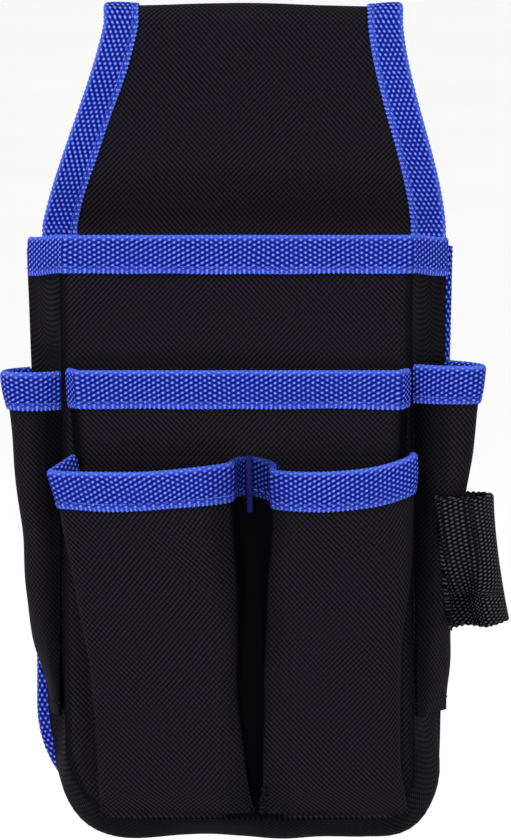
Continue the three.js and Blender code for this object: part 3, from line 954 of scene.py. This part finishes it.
def make_flat_pocket():
    rows = rumpled(middle_rows(), 1.2 * MM, 35 * MM, 4)
    last = len(rows[0]) - 1
    mouth = high("front_pocket_left").z - 8 * MM
    seam = low("front_pocket_right").x + 1.5 * MM

    # Painted shade: the pocket is darkened at its sides above the front pockets' mouths, and near the centre
    # seam below them.
    def crease(r, c):
        point = rows[r][c]
        covered = ease((mouth - point.z) / (8 * MM))
        at_side = 0.95 * ease(1 - (min(c, last - c) - 1) / 3) * (1 - covered)
        return max(at_side, covered * ease(2 - abs(point.x - seam) / (8 * MM)))

    panel = sheet("flat_pocket_fabric", rows, CLOTH, black_cloth, crease_shading(rows, crease))
    declare_sheet(rows)
    place(panel, ["middle_pocket_panel"], "black_cloth")
    tape_rows = folded_tape(top_edge(rows, CLOTH), MOUTH_LEAF, MOUTH_LEAF, 4)
    tape = tape_piece("flat_pocket_tape", tape_rows, blue_tape)
    place(tape, ["middle_pocket_binding"], "blue_tape")
    sew_tape(tape_rows)


# ---------------------------------------------------------------- side pockets

SIDE_SWELL = (17.3 * MM, 21.6 * MM)  # how far the left and the right tube stand out at their mouths


def side_plan(z, right, count=50):
    """The right or left side pocket's plan, from the box pocket's crease round to the back's edge."""
    lo, hi = low("right_side_pocket"), high("right_side_pocket")
    down = (hi.z - z) / (hi.z - lo.z)
    gusset_lo, gusset_hi = low("main_gusset"), high("main_gusset")
    crease_x = high("main_front_panel").x - 0.3 * MM + 1.2 * MM * down
    crease = Vector((crease_x, gusset_lo.y + 2.5 * MM))
    back = Vector((gusset_hi.x + 0.9 * MM - 2.2 * MM * down, gusset_hi.y - 1 * MM))
    back.x += (LEAN if right else -LEAN) * down * 0.6
    if not right:
        back.x -= 3.8 * MM * ease((down - 0.78) / 0.2)
    line = back - crease
    out = Vector((line.y, -line.x)).normalized()
    swell = mix(SIDE_SWELL[right], 0.8 * MM, down**0.95)
    plan = [crease + line * t + out * swell * math.sin(math.pi * t) ** 0.5 for t in steps(25)]
    plan = smooth_line(plan, count)
    return plan if right else [Vector((-p.x, p.y)) for p in reversed(plan)]


def side_rows(right):
    lo = low("right_side_pocket" if right else "left_side_pocket")
    hi = high("right_side_pocket" if right else "left_side_pocket")
    rows = []
    for t in steps(56):
        z = mix(hi.z, lo.z, t)
        rows.append([Vector((p.x, p.y, z)) for p in side_plan(z, right)])
    return rows


def side_shadow(rows, right):
    """The front of a side pocket lies in the shadow of the front pocket beside it."""
    last = len(rows[0]) - 1

    def crease(r, c):
        from_front = (c if right else last - c) / last
        return 0.75 * ease((0.4 - from_front) / 0.3)

    return crease_shading(rows, crease)


def make_side_pockets():
    for right, side in [(False, "left"), (True, "right")]:
        rows = rumpled(side_rows(right), 1.4 * MM, 22 * MM, 5 + right)
        tube = sheet(f"{side}_side_pocket_fabric", rows, CLOTH, black_cloth, side_shadow(rows, right))
        declare_sheet(rows)
        place(tube, [f"{side}_side_pocket"], "black_cloth")
        tape_rows = folded_tape(top_edge(rows, CLOTH), MOUTH_LEAF, MOUTH_LEAF, 6 + right)
        tape = tape_piece(f"{side}_side_pocket_tape", tape_rows, blue_tape)
        place(tape, [f"{side}_side_pocket_binding"], "blue_tape")
        sew_tape(tape_rows)
        sew(rows[SEAM_ROW], face_normals(rows)[SEAM_ROW], thread="black")


# ---------------------------------------------------------------- bellows pockets


class Bellows:
    """A bellows pocket. Its plans are shares of its width and depth; its mouth's also has its rise in mm."""

    def __init__(self, side, mouth, foot, left, right, haste, waist, closing):
        self.side = side
        self.mouth = mouth
        self.foot = foot
        self.left = left  # its left edge at the mouth and at the foot
        self.right = right
        self.haste = haste  # how early its left edge comes in, 1 for a straight edge
        self.waist = waist  # how far its right edge draws in above the foot
        self.closing = closing  # how late the valley beside the centre seam closes, 1 for evenly

    def narrowed(self, x, t):
        """Draws the folds beside the centre seam in towards it lower down."""
        gap = 1 - x if self.side == "left" else x
        gap *= 1 - ease((0.3 - gap) / 0.15) * 0.85 * t**self.closing
        return 1 - gap if self.side == "left" else gap

    def valley(self, row, c):
        """How much painted shade darkens a point of a level row in the valley beside the centre seam, from 0
        to 1.
        """
        seam = row[-1] if self.side == "left" else row[0]
        front = min(p.y for p in row[::4])
        out = (seam.y - row[c].y) / max(seam.y - front, 1 * MM)
        gap = abs(row[c].x - seam.x) / abs(row[-1].x - row[0].x)
        return min(1, max(0, 1 - (out - 0.45) / 0.6)) * ease((0.36 - gap) / 0.2)

    def crease(self, rows):
        """Painted shade: the valley and the seam along the foot are darkened."""
        return crease_shading(rows, lambda r, c: max(0.7 * ease((r + 2.5 - len(rows)) / 2), self.valley(rows[r], c)))

    def rows(self):
        lo, hi = low(f"front_pocket_{self.side}"), high(f"front_pocket_{self.side}")
        depth = hi.y - lo.y - 3.5 * MM
        back = hi.y - 0.5 * MM
        rows = []
        for t in steps(80):
            left = mix(*self.left, 1 - (1 - t) ** self.haste)
            right = mix(*self.right, t) - self.waist * math.sin(math.pi * t**1.8)
            deep = mix(depth + 1.5 * MM, 7 * MM, t**1.1) * (1 - ease((t - 0.9) / 0.1) * 0.85)
            share = ease(t * 1.6)
            z = mix(hi.z - 1 * MM, lo.z, t)
            stand = back + middle_depth(hi.z) - middle_depth(z)
            plan = []
            for (x, out, rise), (low_x, low_out) in zip(self.mouth, self.foot):
                place = mix(left, right, self.narrowed(mix(x, low_x, share), t))
                lift = rise * MM * (1 - ease(t * 2.2))
                plan.append((place, stand - mix(out, low_out, share) * deep, z + lift))
            rows.append(smooth_line(plan, 110))
        return rows


LEFT_MOUTH = [
    (0.12, 0.02, 4.3), (0.08, 0.27, 2.8), (0.03, 0.5, 0.8), (0.012, 0.64, 0), (0.07, 0.8, -0.2),
    (0.27, 0.95, -0.2), (0.5, 1, 0), (0.74, 0.93, 1.4), (0.9, 0.8, 2.8), (0.925, 0.62, 3.3),
    (0.94, 0.4, 3.6), (0.965, 0.24, 4), (1, 0.16, 4.4),
]
LEFT_FOOT = [
    (0.05, 0), (0.02, 0.25), (0.003, 0.5), (0, 0.66), (0.04, 0.84), (0.25, 0.97),
    (0.5, 1), (0.74, 0.97), (0.86, 0.85), (0.885, 0.64), (0.9, 0.36), (0.95, 0.1), (1, 0.03),
]
RIGHT_MOUTH = [
    (0, 0.16, 4.2), (0.035, 0.26, 4), (0.09, 0.42, 3.4), (0.14, 0.6, 2.4), (0.135, 0.78, 0.6),
    (0.2, 0.9, 0), (0.34, 0.98, -0.2), (0.5, 1, 0), (0.7, 0.93, 0.9), (0.84, 0.75, 2.3),
    (0.95, 0.48, 4), (1, 0.22, 5), (1, 0, 5.2),
]
RIGHT_FOOT = [
    (0, 0.03), (0.03, 0.12), (0.06, 0.36), (0.07, 0.64), (0.085, 0.84), (0.14, 0.94),
    (0.3, 1), (0.5, 1), (0.7, 0.97), (0.88, 0.88), (0.97, 0.6), (1, 0.3), (0.99, 0),
]


def make_bellows_pockets():
    left_lo = low("front_pocket_left")
    right_lo, right_hi = low("front_pocket_right"), high("front_pocket_right")
    seam = right_lo.x - 0.4 * MM
    seam_foot = seam + 1.3 * LEAN
    left = (left_lo.x + 0.6 * MM, left_lo.x + 19 * MM)
    right = (right_hi.x + 1.2 * MM, right_hi.x - 0.4 * MM)
    before_seam = (seam - 0.3 * MM, seam_foot - 0.3 * MM)
    past_seam = (seam + 0.3 * MM, seam_foot + 0.3 * MM)
    pockets = [
        Bellows("left", LEFT_MOUTH, LEFT_FOOT, left, before_seam, haste=1.9, waist=0, closing=5),
        Bellows("right", RIGHT_MOUTH, RIGHT_FOOT, past_seam, right, haste=1, waist=4.3 * MM, closing=2.5),
    ]
    for seed, pocket in enumerate(pockets):
        rows = rumpled(pocket.rows(), 1.8 * MM, 30 * MM, 12 + seed)
        wall = sheet(f"front_pocket_{pocket.side}_fabric", rows, CLOTH, black_cloth, pocket.crease(rows))
        declare_sheet(rows)
        place(wall, [f"front_pocket_{pocket.side}"], "black_cloth")
        tape_rows = folded_tape(top_edge(rows, CLOTH), MOUTH_LEAF + 0.4 * MM, MOUTH_LEAF, 14 + seed)
        front_leaf = tape_rows[-8]  # a row near the fold
        name = f"front_pocket_{pocket.side}_tape"
        # Painted shade: the tape is darkened where it dips into the valley beside the centre seam.
        tape = tape_piece(name, tape_rows, blue_tape, lambda c: pocket.valley(front_leaf, c))
        place(tape, [f"front_pocket_binding_{pocket.side}"], "blue_tape")
        sew_tape(tape_rows)
    make_centre_bartack(rows)


BARTACK_LONG = 20 * MM
BARTACK_WIDE = 2.7 * MM
BARTACK_THICK = 0.6 * MM
BARTACK_PITCH = 0.42 * MM  # from one crossing thread to the next


def make_centre_bartack(rows):
    """The bar-tack down the seam between the two pockets, over the ends of their tapes."""
    top = rows[0][0]
    line = [row[0] + Vector((-0.3, -2.4, 0)) * MM for row in rows if top.z - row[0].z < BARTACK_LONG]
    line[0].z += TAPE * 1.5
    name = "front_pocket_centre_bartack_thread"
    bar = thread_piece(name, [line], BARTACK_PITCH, BARTACK_WIDE, BARTACK_THICK, navy_thread, follow=0)
    place(bar, ["front_pocket_centre_bartack"], "blue_thread")


# ---------------------------------------------------------------- tool loop

LOOP_SEAMS = (4, 28, 34)  # the columns of the webbing that are sewn down


def plan_at(plan, x):
    """The point of a plan where it first reaches `x`, or its furthest point if it never does."""
    for a, b in zip(plan, plan[1:]):
        if a.x <= x < b.x:
            return a.lerp(b, (x - a.x) / (b.x - a.x))
    return max(plan, key=lambda p: p.x)


def loop_rows():
    """The webbing, from its sewn front end over the free bend to its rear end."""
    lo, hi = low("tool_loop"), high("tool_loop")
    root = low("tool_loop_front_tab").x
    rows = []
    for t in steps(110):
        z = mix(hi.z, lo.z - 1.6 * MM, t)
        pocket = side_plan(z, True)
        start = mix(root + 2 * MM, root + 9 * MM, t)
        sewn = [plan_at(pocket, start + past) + Vector((0.2 * MM, -2 * MM)) for past in (0, 2.5 * MM)]
        groove = Vector((mix(loop_hinge.x - 3.5 * MM, loop_hinge.x + 0.8 * MM, t), sewn[1].y - 0.6 * MM))
        bend = mix(hi.x - 4.5 * MM, hi.x + 1.2 * MM, t**1.6)
        front_y = lo.y - 1.2 * MM
        free = [(mix(groove.x, bend, 0.4), front_y), (bend - 3 * MM, mix(front_y, hi.y, 0.16))]
        free += [(bend, mix(front_y, hi.y, 0.5)), (bend - 2.5 * MM, hi.y - 2 * MM)]
        rear = pocket[-5] + Vector((2.2 * MM, 1.2 * MM))
        free += [(mix(bend, rear.x, 0.5), hi.y), (rear.x, rear.y)]
        line = []
        for x, y in smooth_line([*sewn, groove, *free], 120):
            past = max(0, x - start)
            slant = mix(0.045, 0.2, t) * past - 1.5 * MM * ease(past / (20 * MM)) * (1 - t)
            ridge = 0.3 * MM * math.cos(2 * math.pi * x / (2 * MM)) * (ease(t * 30 - 29) - ease(1 - t * 30))
            line.append(Vector((x, y, z + slant + ridge)))
        rows.append(line)
    return rows


def make_tool_loop():
    rows = loop_rows()
    # Painted shade: the webbing is darkened along its sewn columns.
    groove_shade = crease_shading(rows, lambda r, c: 0.8 * ease(1.6 - min(abs(c - seam) for seam in LOOP_SEAMS)))
    loop = sheet("tool_loop_webbing", rows, WEBBING, black_webbing, groove_shade)
    declare_sheet(rows)
    nodes = ["tool_loop", "tool_loop_front_tab", "tool_loop_rear_tab"]
    place(loop, nodes, "black_webbing", "across loop seam")
    normals = face_normals(rows)
    for column in LOOP_SEAMS:
        line = [row[column] for row in rows[3:-3]]
        sew(line, [normal[column] for normal in normals[3:-3]], "across loop seam", "black")


# ---------------------------------------------------------------- back


def plain_back_rows(bag, y, inset, swell=0):
    """A panel of the back as seen from behind, so that its rows run from +X to -X."""
    rows = []
    for z in bag.heights(40):
        left, right = bag.side(False, z) + inset, bag.side(True, z) - inset
        line = []
        for t in steps(60):
            x = mix(right, left, t)
            edge = min(x - left, right - x, z - bag.bottom, bag.top - z)
            line.append(Vector((x, y + swell * ease((edge - 6 * MM) / (14 * MM)), z)))
        rows.append(line)
    return rows


def make_back():
    lo, hi = low("back_binding"), high("back_binding")
    bag = back_bag()
    make_back_pad(bag)
    inner = [row[::-1] for row in plain_back_rows(bag, low("back_lining").y, 1.5 * MM)]
    lining = sheet("back_lining_fabric", inner, CLOTH, black_cloth)
    declare_sheet(inner)
    place(lining, ["back_lining"], "black_cloth")
    make_board(bag)
    make_back_tape(bag, lo, hi)


def make_board(bag):
    """The stiff sheet between the lining and the pad, a little smaller than both."""
    lo, hi = low("back_stiffener_board"), high("back_stiffener_board")
    rows = plain_back_rows(bag, hi.y, 6 * MM)[2:-2]
    board = sheet("back_board", rows, hi.y - lo.y, stiffener_board())
    place(board, ["back_stiffener_board"], "stiffener")


def make_back_pad(bag):
    """The padded cover that lies against the wearer, blown up a little and held down round its edge."""
    lo, hi = low("back_outer_cloth"), high("back_outer_cloth")
    rows = plain_back_rows(bag, hi.y - 1.8 * MM, 1.5 * MM, 1.2 * MM)
    pad = sheet("back_pad", rows, 3 * MM, black_cloth)
    blow_up(pad, voxel=3.4 * MM, most=5 * MM, inner_y=lo.y + 0.2 * MM)
    for map_name, flat in [("cloth", lambda p: (-p.x, p.z)), ("crease", lambda p: (0, 0))]:
        layer = pad.data.uv_layers.get(map_name) or pad.data.uv_layers.new(name=map_name)
        for loop in pad.data.loops:
            layer.data[loop.index].uv = flat(pad.data.vertices[loop.vertex_index].co)
    place(pad, ["back_outer_cloth"], "black_cloth")


PAD_PRESSURE = 4
PAD_FRAMES = 20  # how long the cloth has to swell


def blow_up(pad, voxel, most, inner_y):
    """Swells a pad by cloth simulation. No point moves further than `most`, or in past its flat side."""
    scene = bpy.context.scene
    remesh = pad.modifiers.new("remesh", "REMESH")
    remesh.mode = "VOXEL"
    remesh.voxel_size = voxel
    pad.data = bpy.data.meshes.new_from_object(pad.evaluated_get(bpy.context.evaluated_depsgraph_get()))
    pad.modifiers.remove(remesh)
    start = [v.co.copy() for v in pad.data.vertices]
    cloth = pad.modifiers.new("cloth", "CLOTH")
    cloth.settings.use_pressure = True
    cloth.settings.uniform_pressure_force = PAD_PRESSURE
    cloth.settings.effector_weights.gravity = 0
    for moment in range(1, PAD_FRAMES + 1):
        scene.frame_set(moment)
    swollen = pad.evaluated_get(bpy.context.evaluated_depsgraph_get())
    moved = [v.co - rest for v, rest in zip(swollen.data.vertices, start)]
    pad.modifiers.remove(cloth)
    scene.frame_set(1)
    for vertex, rest, move in zip(pad.data.vertices, start, moved):
        vertex.co = rest + move * min(1, most / max(move.length, 1e-9))
        vertex.co.y = max(vertex.co.y, inner_y)
    smoother = pad.modifiers.new("smooth", "SUBSURF")
    smoother.levels = smoother.render_levels = 1
    pad.data = bpy.data.meshes.new_from_object(pad.evaluated_get(bpy.context.evaluated_depsgraph_get()))
    pad.modifiers.remove(smoother)
    pad.data.shade_smooth()


def make_back_tape(bag, lo, hi):
    """Blue tape round the back's edge, folded over all its layers. Its outer leaf is the one behind."""
    layers = hi.y - lo.y - 2 * TAPE
    crown = 1.2 * MM
    rim = [Vector((x, hi.y - TAPE, z)) for x, z in bag.rim(320)]
    last = len(rim) - 1
    behind = Vector((0, 1, 0))
    columns = []
    for k, point in enumerate(rim):
        along = (rim[min(k + 1, last)] - rim[max(k - 1, 0)]).normalized()
        inward = along.cross(behind)
        start = point + inward * crown
        columns.append(([start, start + inward * 0.03], [behind, behind]))
    rows = folded_tape(Edge(columns, layers, 0.9 * MM), SIDE_LEAF, 5 * MM, 14, crown)
    tape = tape_piece("back_edge_tape", rows, blue_tape)
    place(tape, ["back_binding"], "blue_tape")
    sew_tape(rows)


make_hanger()
make_box_pocket()
make_flat_pocket()
make_side_pockets()
make_bellows_pockets()
make_tool_loop()
make_back()
make_stitches()


# ---------------------------------------------------------------- stage, light and camera

FRAME_HIGH = 301.6 * MM
AIM = Vector((1.6, 0, 0.7)) * MM  # off the middle of the model's box
ELEVATION = math.radians(6)
DISTANCE = 2.6
SENSOR = 36
FLOOR_REACH = 30
FLOOR_DROP = 0.25  # the pouch hangs this far above the floor


def make_stage():
    mesh = bpy.data.meshes.new("floor")
    height = cad_box[0][2] - FLOOR_DROP
    corners = [(x * FLOOR_REACH, y * FLOOR_REACH, height) for x, y in [(-1, -1), (1, -1), (1, 1), (-1, 1)]]
    mesh.from_pydata(corners, [], [(0, 1, 2, 3)])
    floor = bpy.data.objects.new("floor", mesh)
    bpy.context.collection.objects.link(floor)
    finish = Finish("pale_floor")
    tint = finish.blend_colours(finish.grain(0.4), colour(0.93, 0.93, 0.93), colour(0.96, 0.96, 0.96))
    mesh.materials.append(finish.done(Base_Color=tint, Roughness=0.9, Specular_IOR_Level=0.1))


def area_light(name, place, aim, size, power):
    data = bpy.data.lights.new(name, "AREA")
    data.size = size
    data.energy = power
    lamp = bpy.data.objects.new(name, data)
    bpy.context.collection.objects.link(lamp)
    lamp.location = place
    lamp.rotation_euler = (Vector(aim) - Vector(place)).to_track_quat("-Z", "Y").to_euler()


def make_lights():
    world = bpy.data.worlds.new("studio")
    bpy.context.scene.world = world
    world.use_nodes = True
    world.node_tree.nodes["Background"].inputs["Color"].default_value = (1, 1, 1, 1)
    world.node_tree.nodes["Background"].inputs["Strength"].default_value = 1.0
    middle = (0, 0, -0.15)
    area_light("key_light", (-0.7, -1.2, 1.3), middle, 0.8, 30)
    area_light("fill_light", (1.2, -1.2, 0.2), middle, 0.8, 5)


def make_camera():
    lo, hi = cad_box
    target = (Vector(lo) + Vector(hi)) / 2 + AIM
    data = bpy.data.cameras.new("camera")
    data.lens = SENSOR * DISTANCE / FRAME_HIGH
    data.sensor_width = SENSOR
    camera = bpy.data.objects.new("camera", data)
    bpy.context.collection.objects.link(camera)
    back = Vector((0, -math.cos(ELEVATION), math.sin(ELEVATION)))
    camera.location = target + back * DISTANCE
    camera.rotation_euler = (-back).to_track_quat("-Z", "Y").to_euler()
    bpy.context.scene.camera = camera


make_stage()
make_lights()
make_camera()
bpy.context.scene.view_settings.view_transform = "Standard"

bpy.context.view_layer.update()
